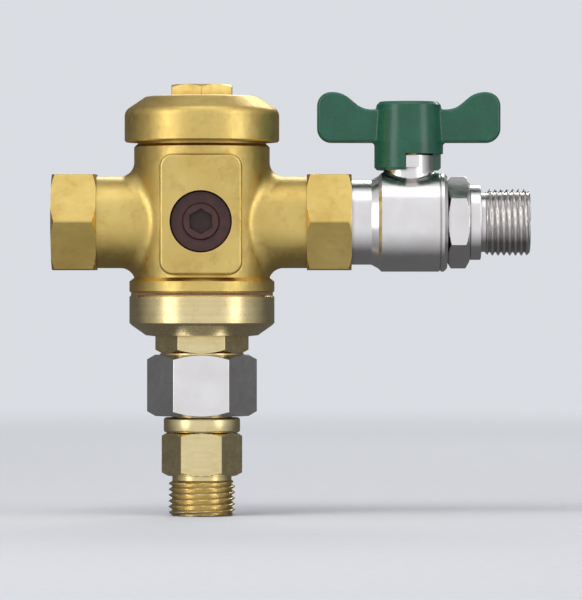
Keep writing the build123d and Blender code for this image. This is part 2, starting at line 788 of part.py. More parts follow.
guide_face = GUIDE_LEDGE + GUIDE_THICKNESS
with BuildPart() as stem_guide:
    add(
        turned(
            BARREL,
            [
                (STEM_R + RUNNING, GUIDE_BOTTOM),
                (GUIDE_BOSS_R, GUIDE_BOTTOM),
                (GUIDE_BOSS_R, GUIDE_LEDGE),
                (UPPER_BORE_R - SNUG, GUIDE_LEDGE),
                (UPPER_BORE_R - SNUG, guide_face),
                (GUIDE_BOSS_R, guide_face),
                (GUIDE_BOSS_R, GUIDE_TOP),
                (STEM_R + RUNNING, GUIDE_TOP),
            ],
        )
    )
    for quarter in range(4):
        slot = sector(
            BARREL,
            GUIDE_SLOT_INNER,
            GUIDE_SLOT_OUTER,
            GUIDE_LEDGE,
            guide_face,
            90 * quarter - GUIDE_SLOT_ANGLE / 2,
            GUIDE_SLOT_ANGLE,
        )
        add(slot, mode=Mode.SUBTRACT)
write(stem_guide.part, "stem_guide")

with BuildPart() as relief_spring:
    add(
        coil(
            BARREL,
            RELIEF_SPRING_R,
            RELIEF_WIRE_R,
            guide_face,
            PLATE_BOTTOM,
            RELIEF_SPRING_TURNS,
        )
    )
write(relief_spring.part, "relief_spring")

# ---------------------------------------------------------- bonnet and its gasket
with BuildPart() as bonnet:
    add(
        turned(
            BARREL,
            [
                (0, BONNET_HEX_BOTTOM),
                (BONNET_HEX_AF / 2, BONNET_HEX_BOTTOM),
                (BONNET_HEX_AF / 2, COLLAR_CONE_BOTTOM),
                (COLLAR_CONE_R, COLLAR_CONE_BOTTOM + BEVEL),
                (FLANGE_R - COLLAR_EDGE, COLLAR_BOTTOM),
                (FLANGE_R, COLLAR_BOTTOM + COLLAR_EDGE),
                (FLANGE_R, BONNET_TOP - BEVEL),
                (FLANGE_R - BEVEL, BONNET_TOP),
                (BONNET_BORE_R - SNUG, BONNET_TOP),
                (BONNET_BORE_R - SNUG, BONNET_BORE_TOP - BEVEL),
                (0, BONNET_BORE_TOP - BEVEL),
            ],
        )
    )
    add(hexagon(BARREL, BONNET_HEX_AF, BONNET_HEX_BOTTOM, COLLAR_CONE_BOTTOM + 3 * BEVEL))
    add(
        turned(
            BARREL,
            [
                (0, BONNET_END),
                (G34_R - THREAD_BEVEL, BONNET_END),
                (G34_R, BONNET_END + THREAD_BEVEL),
                (G34_R, BONNET_HEX_BOTTOM),
                (0, BONNET_HEX_BOTTOM),
            ],
        )
    )
    add(rod(BARREL, G34_R + SNUG, SEAT_BOTTOM, BONNET_BORE_TOP), mode=Mode.SUBTRACT)
    add(rod(BARREL, BONNET_WAY_R, BONNET_END, SEAT_BOTTOM), mode=Mode.SUBTRACT)
write(bonnet.part, "bonnet")

with BuildPart() as bonnet_gasket:
    add(tube(BARREL, BONNET_BORE_R, FLANGE_R - BEVEL, BONNET_TOP, BARREL_BOTTOM))
write(bonnet_gasket.part, "bonnet_gasket")

# -------------------------------------------------------------------- drain union
with BuildPart() as union_nut:
    add(hexagon(BARREL, NUT_AF, NUT_BOTTOM, NUT_TOP))
    add(rod(BARREL, G34_R + SNUG, NUT_LIP_TOP, NUT_TOP), mode=Mode.SUBTRACT)
    add(rod(BARREL, UNION_NECK_R + RUNNING, NUT_BOTTOM, NUT_LIP_TOP), mode=Mode.SUBTRACT)
write(union_nut.part, "union_nut")

with BuildPart() as union_gasket:
    add(tube(BARREL, BONNET_WAY_R, UNION_FLANGE_R, UNION_FLANGE_TOP, BONNET_END))
write(union_gasket.part, "union_gasket")

with BuildPart() as union_tail:
    add(
        turned(
            BARREL,
            [
                (DRAIN_WAY_R, TAIL_END),
                (G38_R - THREAD_BEVEL, TAIL_END),
                (G38_R, TAIL_END + THREAD_BEVEL),
                (G38_R, DRAIN_TOP),
                (UNION_NECK_R, DRAIN_TOP),
                (UNION_NECK_R, NUT_LIP_TOP),
                (UNION_FLANGE_R, NUT_LIP_TOP),
                (UNION_FLANGE_R, UNION_FLANGE_TOP),
                (DRAIN_WAY_R, UNION_FLANGE_TOP),
            ],
        )
    )
write(union_tail.part, "union_tail")

with BuildPart() as drain_adapter:
    add(
        turned(
            BARREL,
            [
                (0, DRAIN_END),
                (G12_R - THREAD_BEVEL, DRAIN_END),
                (G12_R, DRAIN_END + THREAD_BEVEL),
                (G12_R, DRAIN_THREAD_TOP),
                (DRAIN_GROOVE_R, DRAIN_THREAD_TOP),
                (DRAIN_GROOVE_R, DRAIN_HEX_TOP),
                (DRAIN_COLLAR_R, DRAIN_HEX_TOP),
                (DRAIN_COLLAR_R, DRAIN_TOP - COLLAR_EDGE),
                (DRAIN_COLLAR_R - COLLAR_EDGE, DRAIN_TOP),
                (0, DRAIN_TOP),
            ],
        )
    )
    add(hexagon(BARREL, DRAIN_HEX_AF, DRAIN_HEX_BOTTOM, DRAIN_HEX_TOP, turn=30))
    add(rod(BARREL, G38_R + SNUG, TAIL_SOCKET_BOTTOM, DRAIN_TOP), mode=Mode.SUBTRACT)
    add(rod(BARREL, DRAIN_WAY_R, DRAIN_END, TAIL_SOCKET_BOTTOM), mode=Mode.SUBTRACT)
write(drain_adapter.part, "drain_adapter")

# --------------------------------------------------------------- isolating valve
with BuildPart() as valve_body:
    add(
        turned(
            PIPE,
            [
                (0, VALVE_START),
                (G34_R - THREAD_BEVEL, VALVE_START),
                (G34_R, VALVE_START + THREAD_BEVEL),
                (G34_R, BODY_LENGTH),
                (VALVE_COLLAR_R, BODY_LENGTH),
                (VALVE_COLLAR_R, VALVE_BARREL_START - VALVE_COLLAR_SLOPE),
                (VALVE_BARREL_R - VALVE_EDGE, VALVE_BARREL_START),
                (VALVE_BARREL_R, VALVE_BARREL_START + VALVE_EDGE),
                (VALVE_BARREL_R, VALVE_GROOVE - VALVE_GROOVE_DEPTH),
                (VALVE_BARREL_R - VALVE_GROOVE_DEPTH, VALVE_GROOVE),
                (VALVE_BARREL_R, VALVE_GROOVE + VALVE_GROOVE_DEPTH),
                (VALVE_BARREL_R, VALVE_BARREL_END - VALVE_EDGE),
                (VALVE_BARREL_R - VALVE_EDGE, VALVE_BARREL_END),
                (0, VALVE_BARREL_END),
            ],
        )
    )
    add(rod(VALVE, VALVE_NECK_R, 0, VALVE_NECK_TOP))
    neck_join = edges().filter_by(
        lambda e: e.geom_type not in (GeomType.CIRCLE, GeomType.LINE)
        and e.center().Z > VALVE_BARREL_R / 2
    )
    fillet(neck_join, VALVE_NECK_FILLET)
    # waterway, ball cavity and the end piece's thread
    add(rod(PIPE, VALVE_WAY_R, VALVE_START, BALL_CAVITY_START), mode=Mode.SUBTRACT)
    add(rod(PIPE, BALL_CAVITY_R, BALL_CAVITY_START, END_JOINT_START), mode=Mode.SUBTRACT)
    add(rod(PIPE, END_JOINT_R, END_JOINT_START, VALVE_BARREL_END), mode=Mode.SUBTRACT)
    # spindle's bore
    pocket_r = SPINDLE_FLANGE_R + RUNNING
    add(rod(VALVE, pocket_r, BALL_SLOT_FLOOR, SPINDLE_WASHER_TOP), mode=Mode.SUBTRACT)
    shaft_r = SPINDLE_R + RUNNING
    add(rod(VALVE, shaft_r, SPINDLE_WASHER_TOP, VALVE_NECK_TOP), mode=Mode.SUBTRACT)
    # stop lug on the side of the neck
    add(
        sector(
            VALVE,
            VALVE_NECK_R - BEVEL,
            STOP_R,
            STOP_BOTTOM,
            STOP_TOP,
            STOP_ANGLE - STOP_HALF_ANGLE,
            2 * STOP_HALF_ANGLE,
        )
    )
write(valve_body.part, "valve_body")

with BuildPart() as valve_end_piece:
    add(
        turned(
            PIPE,
            [
                (0, END_JOINT_START + END_JOINT_SEAL),
                (END_JOINT_R - SNUG, END_JOINT_START + END_JOINT_SEAL),
                (END_JOINT_R - SNUG, END_HEX_END),
                (END_COLLAR_R, END_HEX_END),
                (END_COLLAR_R, END_THREAD_START - END_GROOVE),
                (G12_R - THREAD_BEVEL, END_THREAD_START - END_GROOVE),
                (G12_R - THREAD_BEVEL, END_THREAD_START),
                (G12_R, END_THREAD_START),
                (G12_R, VALVE_END - THREAD_BEVEL),
                (G12_R - THREAD_BEVEL, VALVE_END),
                (0, VALVE_END),
            ],
        )
    )
    add(hexagon(PIPE, END_HEX_AF, VALVE_BARREL_END, END_HEX_END))
    add(rod(PIPE, BALL_CAVITY_R, END_JOINT_START, BALL_CAVITY_END), mode=Mode.SUBTRACT)
    add(rod(PIPE, BALL_WAY_R, BALL_CAVITY_END, VALVE_END), mode=Mode.SUBTRACT)
write(valve_end_piece.part, "valve_end_piece")

with BuildPart() as valve_joint_seal:
    seal_end = END_JOINT_START + END_JOINT_SEAL
    add(tube(PIPE, BALL_CAVITY_R, END_JOINT_R - SNUG, END_JOINT_START, seal_end))
write(valve_joint_seal.part, "valve_joint_seal")

for name, direction in (("outlet_ball_seat", -1), ("inlet_ball_seat", 1)):
    side = Plane(origin=(BALL_X, 0, 0), x_dir=(0, 0, 1), z_dir=(direction, 0, 0))
    with BuildPart() as ball_seat:
        add(
            turned(
                side,
                [
                    (SEAT_INNER_R, sqrt(BALL_R**2 - SEAT_INNER_R**2) + SEAT_GAP),
                    (sqrt(BALL_R**2 - SEAT_NEAR**2) + SEAT_GAP, SEAT_NEAR),
                    (BALL_CAVITY_R - SNUG, SEAT_NEAR),
                    (BALL_CAVITY_R - SNUG, BALL_X - BALL_CAVITY_START),
                    (SEAT_INNER_R, BALL_X - BALL_CAVITY_START),
                ],
            )
        )
    write(ball_seat.part, name)

with BuildPart() as ball:
    with Locations((BALL_X, 0, 0)):
        Sphere(BALL_R)
    add(rod(PIPE, BALL_WAY_R, BALL_X - BALL_R, BALL_X + BALL_R), mode=Mode.SUBTRACT)
    # slot for the spindle's tang
    with BuildSketch(VALVE.offset(BALL_SLOT_FLOOR)):
        Rectangle(BALL_SLOT, 2 * BALL_R)
    extrude(amount=BALL_R - BALL_SLOT_FLOOR, mode=Mode.SUBTRACT)
write(ball.part, "ball")

with BuildPart() as spindle:
    add(
        turned(
            VALVE,
            [
                (0, SPINDLE_FLANGE_BOTTOM),
                (SPINDLE_FLANGE_R, SPINDLE_FLANGE_BOTTOM),
                (SPINDLE_FLANGE_R, SPINDLE_FLANGE_TOP),
                (SPINDLE_R, SPINDLE_FLANGE_TOP),
                (SPINDLE_R, SPINDLE_TOP - BEVEL),
                (SPINDLE_R - BEVEL, SPINDLE_TOP),
                (0, SPINDLE_TOP),
            ],
        )
    )
    # tang that turns the ball
    with BuildSketch(VALVE.offset(SPINDLE_TANG_BOTTOM)):
        Rectangle(*SPINDLE_TANG)
    extrude(amount=SPINDLE_FLANGE_BOTTOM - SPINDLE_TANG_BOTTOM + TOUCH)
    # grooves for the two rings
    for low in SPINDLE_GROOVES:
        groove = tube(VALVE, SPINDLE_GROOVE_R, SPINDLE_R, low, low + SPINDLE_GROOVE)
        add(groove, mode=Mode.SUBTRACT)
    # flats for the handle, and the screw's hole
    with BuildSketch(VALVE.offset(SPINDLE_FLATS_BOTTOM)):
        Circle(2 * SPINDLE_R)
        Rectangle(4 * SPINDLE_R, SPINDLE_FLATS, mode=Mode.SUBTRACT)
    extrude(amount=SPINDLE_TOP - SPINDLE_FLATS_BOTTOM, mode=Mode.SUBTRACT)
    add(rod(VALVE, SCREW_R + SNUG, SPINDLE_HOLE_BOTTOM, SPINDLE_TOP), mode=Mode.SUBTRACT)
write(spindle.part, "valve_spindle")

with BuildPart() as spindle_washer:
    washer_low = SPINDLE_FLANGE_TOP + SNUG
    add(tube(VALVE, SPINDLE_R + SNUG, SPINDLE_FLANGE_R, washer_low, SPINDLE_WASHER_TOP))
write(spindle_washer.part, "spindle_washer")

with BuildPart() as spindle_o_rings:
    ring_r = (SPINDLE_GROOVE_R + SPINDLE_R) / 2 + SNUG
    for low in SPINDLE_GROOVES:
        add(o_ring(VALVE, ring_r, SPINDLE_RING_CORD_R, low + SPINDLE_GROOVE / 2))
write(spindle_o_rings.part, "spindle_o_rings")

# ------------------------------------------------------------------------ handle
with BuildPart() as wing:
    # thinner towards its tip, with rounded corners and edges
    with BuildSketch(VALVE.offset(WING_BOTTOM)):
        with BuildLine():
            Polyline(
                (0, -WING_ROOT),
                (WING_HALF_SPAN, -WING_TIP),
                (WING_HALF_SPAN, WING_TIP),
                (0, WING_ROOT),
                close=True,
            )
        make_face()
    extrude(amount=WING_TOP - WING_BOTTOM)
    with BuildSketch(Plane.XZ.offset(-WING_ROOT)):
        with BuildLine():
            Polyline(
                (BALL_X, WING_BOTTOM),
                (BALL_X + WING_HALF_SPAN, WING_BOTTOM),
                (BALL_X + WING_HALF_SPAN, WING_TOP),
                (BALL_X + WING_SHOULDER, WING_TOP),
                (BALL_X + WING_DIP, WING_DIP_TOP),
                (BALL_X, WING_DIP_TOP),
                close=True,
            )
        make_face()
        fillet(vertices().group_by(Axis.X)[-1], WING_CORNER)
        bends = vertices().filter_by_position(
            Axis.X, BALL_X + WING_DIP - BEVEL, BALL_X + WING_SHOULDER + BEVEL
        )
        fillet(bends, WING_BEND)
    extrude(amount=2 * WING_ROOT, mode=Mode.INTERSECT)
    fillet(edges().filter_by_position(Axis.X, BALL_X + 1, BALL_X + WING_HALF_SPAN), WING_EDGE)

with BuildPart() as handle:
    add(wing)
    add(wing.part.mirror(Plane(origin=(BALL_X, 0, 0), z_dir=(1, 0, 0))))
    add(
        turned(
            VALVE,
            [
                (0, HUB_BOTTOM),
                (HUB_R - HUB_EDGE, HUB_BOTTOM),
                (HUB_R, HUB_BOTTOM + HUB_EDGE),
                (HUB_R, WING_BOTTOM),
                (HUB_TOP_R, HUB_TOP - HUB_TOP_EDGE),
                (HUB_TOP_R - HUB_TOP_EDGE, HUB_TOP),
                (0, HUB_TOP),
            ],
        )
    )
    fillet(edges().filter_by(GeomType.HYPERBOLA), WING_EDGE)
    # the skirt round the neck, the spindle's socket, the screw's hole and its counterbore
    add(rod(VALVE, SKIRT_R, HUB_BOTTOM, HUB_FLOOR), mode=Mode.SUBTRACT)
    socket_bottom = SPINDLE_FLATS_BOTTOM + SNUG
    add(rod(VALVE, SPINDLE_R + SNUG, HUB_FLOOR, socket_bottom), mode=Mode.SUBTRACT)
    with BuildSketch(VALVE.offset(HUB_FLOOR)):
        Circle(SPINDLE_R + SNUG)
        Rectangle(3 * SPINDLE_R, SPINDLE_FLATS + 2 * SNUG, mode=Mode.INTERSECT)
    extrude(amount=SPINDLE_TOP + RUNNING - HUB_FLOOR, mode=Mode.SUBTRACT)
    add(rod(VALVE, SCREW_R + RUNNING, SPINDLE_TOP, HUB_TOP), mode=Mode.SUBTRACT)
    add(rod(VALVE, COUNTERBORE_R, SCREW_HEAD_BOTTOM, WING_TOP), mode=Mode.SUBTRACT)
    # window in the skirt for the stop lug's quarter turn
    add(
        sector(
            VALVE,
            SKIRT_R - BEVEL,
            HUB_R + BEVEL,
            HUB_BOTTOM,
            HUB_FLOOR,
            STOP_ANGLE - STOP_HALF_ANGLE - STOP_SLACK,
            QUARTER_TURN + 2 * (STOP_HALF_ANGLE + STOP_SLACK),
        ),
        mode=Mode.SUBTRACT,
    )
write(handle.part, "handle")

with BuildPart() as handle_screw:
    add(
        turned(
            VALVE,
            [
                (0, SCREW_END),
                (SCREW_R, SCREW_END),
                (SCREW_R, SCREW_HEAD_BOTTOM),
                (SCREW_HEAD_R, SCREW_HEAD_BOTTOM),
                (SCREW_HEAD_R, SCREW_HEAD_TOP - SCREW_DOME),
                (SCREW_HEAD_R - SCREW_DOME, SCREW_HEAD_TOP),
                (0, SCREW_HEAD_TOP),
            ],
        )
    )
    # cross recess
    with BuildSketch(VALVE.offset(SCREW_HEAD_TOP)):
        Rectangle(*SCREW_SLOT)
        Rectangle(*SCREW_SLOT, rotation=90)
    extrude(amount=-SCREW_SLOT_DEPTH, mode=Mode.SUBTRACT)
write(handle_screw.part, "handle_screw")
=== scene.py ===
"""Looks for the vented brass backflow preventer and its isolating valve."""

import json
import math

import bmesh
import bpy
from mathutils import Matrix, Vector
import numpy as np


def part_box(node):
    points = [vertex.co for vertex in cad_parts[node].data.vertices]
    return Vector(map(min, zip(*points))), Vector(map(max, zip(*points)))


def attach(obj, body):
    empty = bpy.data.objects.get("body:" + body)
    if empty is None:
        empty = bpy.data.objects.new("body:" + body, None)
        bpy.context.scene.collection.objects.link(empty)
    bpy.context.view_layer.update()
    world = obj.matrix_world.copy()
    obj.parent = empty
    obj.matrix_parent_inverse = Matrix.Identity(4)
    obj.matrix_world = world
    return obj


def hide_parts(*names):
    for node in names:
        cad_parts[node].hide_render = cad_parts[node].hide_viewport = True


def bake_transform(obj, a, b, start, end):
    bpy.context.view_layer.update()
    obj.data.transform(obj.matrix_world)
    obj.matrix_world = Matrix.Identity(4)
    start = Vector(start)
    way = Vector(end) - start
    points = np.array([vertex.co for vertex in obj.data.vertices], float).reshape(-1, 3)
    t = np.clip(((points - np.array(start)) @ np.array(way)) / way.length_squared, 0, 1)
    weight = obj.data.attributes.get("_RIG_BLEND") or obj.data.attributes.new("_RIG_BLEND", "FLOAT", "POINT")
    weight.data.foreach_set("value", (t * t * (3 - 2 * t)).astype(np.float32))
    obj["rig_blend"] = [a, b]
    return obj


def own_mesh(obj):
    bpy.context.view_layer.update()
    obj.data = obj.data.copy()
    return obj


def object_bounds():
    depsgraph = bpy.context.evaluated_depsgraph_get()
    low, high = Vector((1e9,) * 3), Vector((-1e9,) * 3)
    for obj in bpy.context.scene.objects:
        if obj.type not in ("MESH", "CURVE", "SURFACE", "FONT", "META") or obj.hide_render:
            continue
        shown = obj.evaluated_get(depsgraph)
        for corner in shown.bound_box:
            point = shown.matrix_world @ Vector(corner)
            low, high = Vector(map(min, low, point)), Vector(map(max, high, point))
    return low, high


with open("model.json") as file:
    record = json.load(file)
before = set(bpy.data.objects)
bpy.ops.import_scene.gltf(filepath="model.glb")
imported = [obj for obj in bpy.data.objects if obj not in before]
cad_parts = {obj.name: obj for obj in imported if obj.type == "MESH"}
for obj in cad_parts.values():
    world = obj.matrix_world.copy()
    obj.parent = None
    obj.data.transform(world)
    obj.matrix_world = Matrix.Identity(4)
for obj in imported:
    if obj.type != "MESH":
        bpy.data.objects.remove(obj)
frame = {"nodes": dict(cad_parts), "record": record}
cad_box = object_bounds()

# Sizes are in metres, in the frame's own axes.
MM = 0.001
LOW = Vector(cad_box[0])
HIGH = Vector(cad_box[1])
MIDDLE = (LOW + HIGH) / 2
SIZE = HIGH - LOW


def middle_of(node):
    """The middle of a CAD node's box."""
    low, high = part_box(node)
    return (low + high) / 2


BARREL_X = middle_of("cap").x

# British pipe threads, as in the record's mounts.
PITCH = 1.814 * MM
THREAD_DEPTH = 1.162 * MM
G12_R = 10.48 * MM
G34_R = 13.22 * MM


# ------------------------------------------------------------------ node helpers
class Nodes:
    """A material's node tree with short ways to add and join nodes."""

    def __init__(self, name):
        self.material = bpy.data.materials.new(name)
        self.material.use_nodes = True
        self.tree = self.material.node_tree
        self.tree.nodes.clear()
        self.output = self.add("ShaderNodeOutputMaterial")
        self.shader = self.add("ShaderNodeBsdfPrincipled")
        self.join(self.shader.outputs["BSDF"], self.output.inputs["Surface"])
        self.place = self.add("ShaderNodeTexCoord").outputs["Object"]

    def add(self, kind, **settings):
        node = self.tree.nodes.new(kind)
        for key, value in settings.items():
            setattr(node, key, value)
        return node

    def join(self, source, socket):
        """Links an output to a socket, or sets the socket to a plain value."""
        if isinstance(source, bpy.types.NodeSocket):
            self.tree.links.new(source, socket)
        elif isinstance(source, tuple) and socket.type == "RGBA":
            socket.default_value = (*source, 1)
        else:
            socket.default_value = source

    def maths(self, operation, *values):
        """A Math node over outputs or numbers."""
        node = self.add("ShaderNodeMath", operation=operation)
        for value, socket in zip(values, node.inputs):
            self.join(value, socket)
        return node.outputs["Value"]

    def vector(self, operation, *values):
        """A Vector Math node; LENGTH and DOT_PRODUCT give a number."""
        node = self.add("ShaderNodeVectorMath", operation=operation)
        for value, socket in zip(values, node.inputs):
            self.join(value, socket)
        number = operation in ("LENGTH", "DOT_PRODUCT")
        return node.outputs["Value" if number else "Vector"]

    def noise(self, size, detail=3.0, roughness=0.5, stretch=(1, 1, 1), place=None):
        """Noise whose lumps are about size metres across, drawn out by 1 / stretch."""
        scaled = self.vector("MULTIPLY", place or self.place, stretch)
        noise = self.add("ShaderNodeTexNoise")
        noise.inputs["Scale"].default_value = 1 / size
        noise.inputs["Detail"].default_value = detail
        noise.inputs["Roughness"].default_value = roughness
        self.join(scaled, noise.inputs["Vector"])
        return noise.outputs["Fac"]

    def ramp(self, source, *stops):
        """A ramp over (position, value) stops; a value is a colour or one number."""
        ramp = self.add("ShaderNodeValToRGB")
        elements = ramp.color_ramp.elements
        while len(elements) < len(stops):
            elements.new(0.5)
        for element, (position, value) in zip(elements, stops):
            element.position = position
            colour = value if isinstance(value, tuple) else (value, value, value)
            element.color = (*colour, 1)
        self.join(source, ramp.inputs["Fac"])
        return ramp.outputs["Color"]

    def mix(self, fac, a, b, blend="MIX"):
        """Mixes two colours."""
        mix = self.add("ShaderNodeMix", data_type="RGBA", blend_type=blend)
        for value, index in ((fac, 0), (a, 6), (b, 7)):
            self.join(value, mix.inputs[index])
        return mix.outputs[2]

    def hollow(self, distance, inside=False):
        """0 in the open, rising to 1 deep inside corners; inside gives the sharp edges."""
        shade = self.add("ShaderNodeAmbientOcclusion", samples=8, inside=inside)
        shade.inputs["Distance"].default_value = distance
        return self.maths("SUBTRACT", 1.0, shade.outputs["AO"])

    def from_axis(self, centre, axis):
        """Distance from an axis, and height along it."""
        away = self.vector("SUBTRACT", self.place, centre)
        along = self.vector("DOT_PRODUCT", away, axis)
        across = tuple(0.0 if part else 1.0 for part in axis)
        distance = self.vector("LENGTH", self.vector("MULTIPLY", away, across))
        return distance, along

    def lathe_lines(self, centre, axis, size):
        """Noise that runs in rings round an axis, as a lathe tool leaves it."""
        distance, along = self.from_axis(centre, axis)
        place = self.add("ShaderNodeCombineXYZ")
        self.join(distance, place.inputs["X"])
        self.join(along, place.inputs["Y"])
        return self.noise(size, detail=2.0, place=place.outputs["Vector"])

    def bump(self, *layers):
        """Chains bumps from (height output, height in metres, strength)."""
        normal = None
        for height, distance, strength in layers:
            bump = self.add("ShaderNodeBump")
            bump.inputs["Distance"].default_value = distance
            bump.inputs["Strength"].default_value = strength
            self.join(height, bump.inputs["Height"])
            if normal:
                self.join(normal, bump.inputs["Normal"])
            normal = bump.outputs["Normal"]
        self.join(normal, self.shader.inputs["Normal"])

    def set(self, **values):
        """Sets the shader's own sockets; underscores stand for spaces."""
        for key, value in values.items():
            self.join(value, self.shader.inputs[key.replace("_", " ")])


# --------------------------------------------------------------------- materials
BARREL_AXIS = ((BARREL_X, 0, 0), (0, 0, 1))
PIPE_AXIS = ((0, 0, 0), (1, 0, 0))
# tarnish and painted shade: the reddish dark brown mixed into the brass's corners
TARNISH_AND_PAINTED_SHADE = (0.26, 0.12, 0.03)


def cast_brass():
    """Forged and tumbled brass, machined bright on the end faces and in the bores."""
    m = Nodes("cast_brass")
    patches = m.noise(14 * MM, detail=5)
    rough_skin = m.ramp(patches, (0.3, (0.64, 0.45, 0.13)), (0.7, (0.78, 0.59, 0.20)))
    stains = m.ramp(m.noise(5 * MM, detail=6, roughness=0.65), (0.52, 0.0), (0.72, 0.4))
    rough_skin = m.mix(stains, rough_skin, (0.45, 0.25, 0.07))
    # bores and end faces
    distance, along = m.from_axis(*PIPE_AXIS)
    in_bore = m.maths("LESS_THAN", distance, G34_R + 0.3 * MM)
    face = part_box("main_body")[1].x - 0.1 * MM
    outlet_face = m.maths("LESS_THAN", along, 0.1 * MM)
    inlet_face = m.maths("GREATER_THAN", along, face)
    machined = m.maths("MAXIMUM", in_bore, m.maths("MAXIMUM", outlet_face, inlet_face))
    lines = m.lathe_lines(*PIPE_AXIS, 0.12 * MM)
    bright = m.ramp(lines, (0.35, (0.76, 0.56, 0.23)), (0.65, (0.84, 0.66, 0.31)))
    colour = m.mix(machined, rough_skin, bright)
    # tarnish and painted shade darken the corners; polished on the edges
    colour = m.mix(m.ramp(m.hollow(5 * MM), (0.2, 0.0), (0.8, 0.75)), colour, TARNISH_AND_PAINTED_SHADE)
    worn = m.ramp(m.hollow(0.5 * MM, inside=True), (0.3, 0.0), (0.6, 0.7))
    colour = m.mix(worn, colour, (0.92, 0.76, 0.42))
    grain = m.noise(0.45 * MM, detail=5, roughness=0.6)
    lumps = m.noise(3.5 * MM, detail=2)
    gloss = m.ramp(m.noise(2 * MM, detail=6, roughness=0.7), (0.3, 0.30), (0.7, 0.46))
    gloss = m.mix(machined, gloss, (0.22, 0.22, 0.22))
    cast_only = m.maths("SUBTRACT", 1.0, machined)
    m.set(Base_Color=colour, Metallic=1.0, Roughness=gloss)
    m.bump(
        (m.maths("MULTIPLY", lumps, cast_only), 0.15 * MM, 0.5),
        (m.maths("MULTIPLY", grain, cast_only), 0.07 * MM, 0.6),
        (m.maths("MULTIPLY", lines, machined), 0.01 * MM, 0.5),
    )
    return m.material


def machined_brass():
    """Brass turned on a lathe, with fine rings, and a little tarnish and painted shade in the corners."""
    m = Nodes("machined_brass")
    lines = m.lathe_lines(*BARREL_AXIS, 0.16 * MM)
    wide_lines = m.lathe_lines(*BARREL_AXIS, 1.1 * MM)
    patches = m.noise(10 * MM, detail=5)
    colour = m.ramp(patches, (0.3, (0.76, 0.62, 0.30)), (0.7, (0.85, 0.72, 0.40)))
    rings = m.ramp(wide_lines, (0.3, (0.68, 0.52, 0.24)), (0.7, (0.90, 0.78, 0.48)))
    colour = m.mix(0.35, colour, rings)
    smears = m.ramp(m.noise(4 * MM, detail=6, roughness=0.7), (0.55, 0.0), (0.75, 0.3))
    colour = m.mix(smears, colour, (0.50, 0.30, 0.10))
    # tarnish and painted shade: darker and redder where ambient occlusion finds corners
    colour = m.mix(m.ramp(m.hollow(2.5 * MM), (0.35, 0.0), (0.95, 0.7)), colour, TARNISH_AND_PAINTED_SHADE)
    worn = m.ramp(m.hollow(0.4 * MM, inside=True), (0.3, 0.0), (0.6, 0.7))
    colour = m.mix(worn, colour, (0.94, 0.80, 0.48))
    gloss = m.ramp(m.noise(3 * MM, detail=6, roughness=0.7), (0.3, 0.20), (0.7, 0.34))
    m.set(Base_Color=colour, Metallic=1.0, Roughness=gloss)
    m.bump((wide_lines, 0.02 * MM, 0.4), (lines, 0.012 * MM, 0.6))
    return m.material


def nickel_plate():
    """Bright nickel over brass, a little wavy, with hairline scratches."""
    m = Nodes("nickel_plate")
    patches = m.noise(9 * MM, detail=4)
    colour = m.ramp(patches, (0.3, (0.80, 0.77, 0.75)), (0.7, (0.88, 0.86, 0.85)))
    # painted shade: the nickel darker where ambient occlusion finds corners
    colour = m.mix(m.ramp(m.hollow(2 * MM), (0.2, 0.0), (0.85, 0.8)), colour, (0.10, 0.08, 0.06))
    hairs = m.noise(0.5 * MM, detail=3, stretch=(0.12, 1.0, 1.0))
    across = m.noise(0.5 * MM, detail=3, stretch=(1.0, 1.0, 0.1))
    gloss = m.ramp(m.noise(2.5 * MM, detail=6, roughness=0.7), (0.3, 0.16), (0.7, 0.28))
    m.set(Base_Color=colour, Metallic=1.0, Roughness=gloss)
    waves = m.noise(2.2 * MM, detail=2)
    m.bump((waves, 0.03 * MM, 0.5), (hairs, 0.003 * MM, 0.4), (across, 0.003 * MM, 0.4))
    return m.material


def chrome():
    """The polished ball."""
    m = Nodes("ball_chrome")
    patches = m.noise(4 * MM, detail=4)
    colour = m.ramp(patches, (0.3, (0.74, 0.75, 0.76)), (0.7, (0.82, 0.82, 0.83)))
    gloss = m.ramp(m.noise(1.2 * MM, detail=5), (0.3, 0.04), (0.7, 0.10))
    m.set(Base_Color=colour, Metallic=1.0, Roughness=gloss)
    m.bump((m.noise(0.4 * MM), 0.002 * MM, 0.3))
    return m.material


def green_paint():
    """Thick green coating on a die-cast handle, rubbed lighter on the edges."""
    m = Nodes("green_paint")
    patches = m.noise(6 * MM, detail=4)
    colour = m.ramp(patches, (0.3, (0.004, 0.066, 0.036)), (0.7, (0.006, 0.086, 0.047)))
    worn = m.ramp(m.hollow(0.5 * MM, inside=True), (0.4, 0.0), (0.75, 0.4))
    colour = m.mix(worn, colour, (0.02, 0.17, 0.10))
    # painted shade: darker green where ambient occlusion finds corners
    colour = m.mix(m.ramp(m.hollow(3 * MM), (0.4, 0.0), (0.95, 0.5)), colour, (0.003, 0.035, 0.02))
    peel = m.noise(1.1 * MM, detail=2)
    dust = m.noise(0.25 * MM, detail=3)
    gloss = m.ramp(m.noise(3 * MM, detail=5, roughness=0.65), (0.3, 0.20), (0.7, 0.33))
    m.set(Base_Color=colour, Roughness=gloss, Coat_Weight=0.15, Coat_Roughness=0.12)
    m.bump((peel, 0.03 * MM, 0.5), (dust, 0.004 * MM, 0.3))
    return m.material


def moulded(name, light, dark, rough):
    """Moulded plastic or rubber: mottled, with a fine mould texture and painted shade in the corners."""
    m = Nodes(name)
    patches = m.noise(3 * MM, detail=5)
    colour = m.ramp(patches, (0.35, dark), (0.65, light))
    # painted shade: the corners darkened where ambient occlusion finds them
    shade = tuple(part * 0.35 for part in dark)
    colour = m.mix(m.ramp(m.hollow(1.5 * MM), (0.2, 0.0), (0.9, 0.8)), colour, shade)
    gloss = m.ramp(m.noise(1.5 * MM, detail=5), (0.3, rough * 0.8), (0.7, min(1.0, rough * 1.2)))
    m.set(Base_Color=colour, Roughness=gloss)
    m.bump((m.noise(0.22 * MM, detail=3), 0.012 * MM, 0.5))
    return m.material


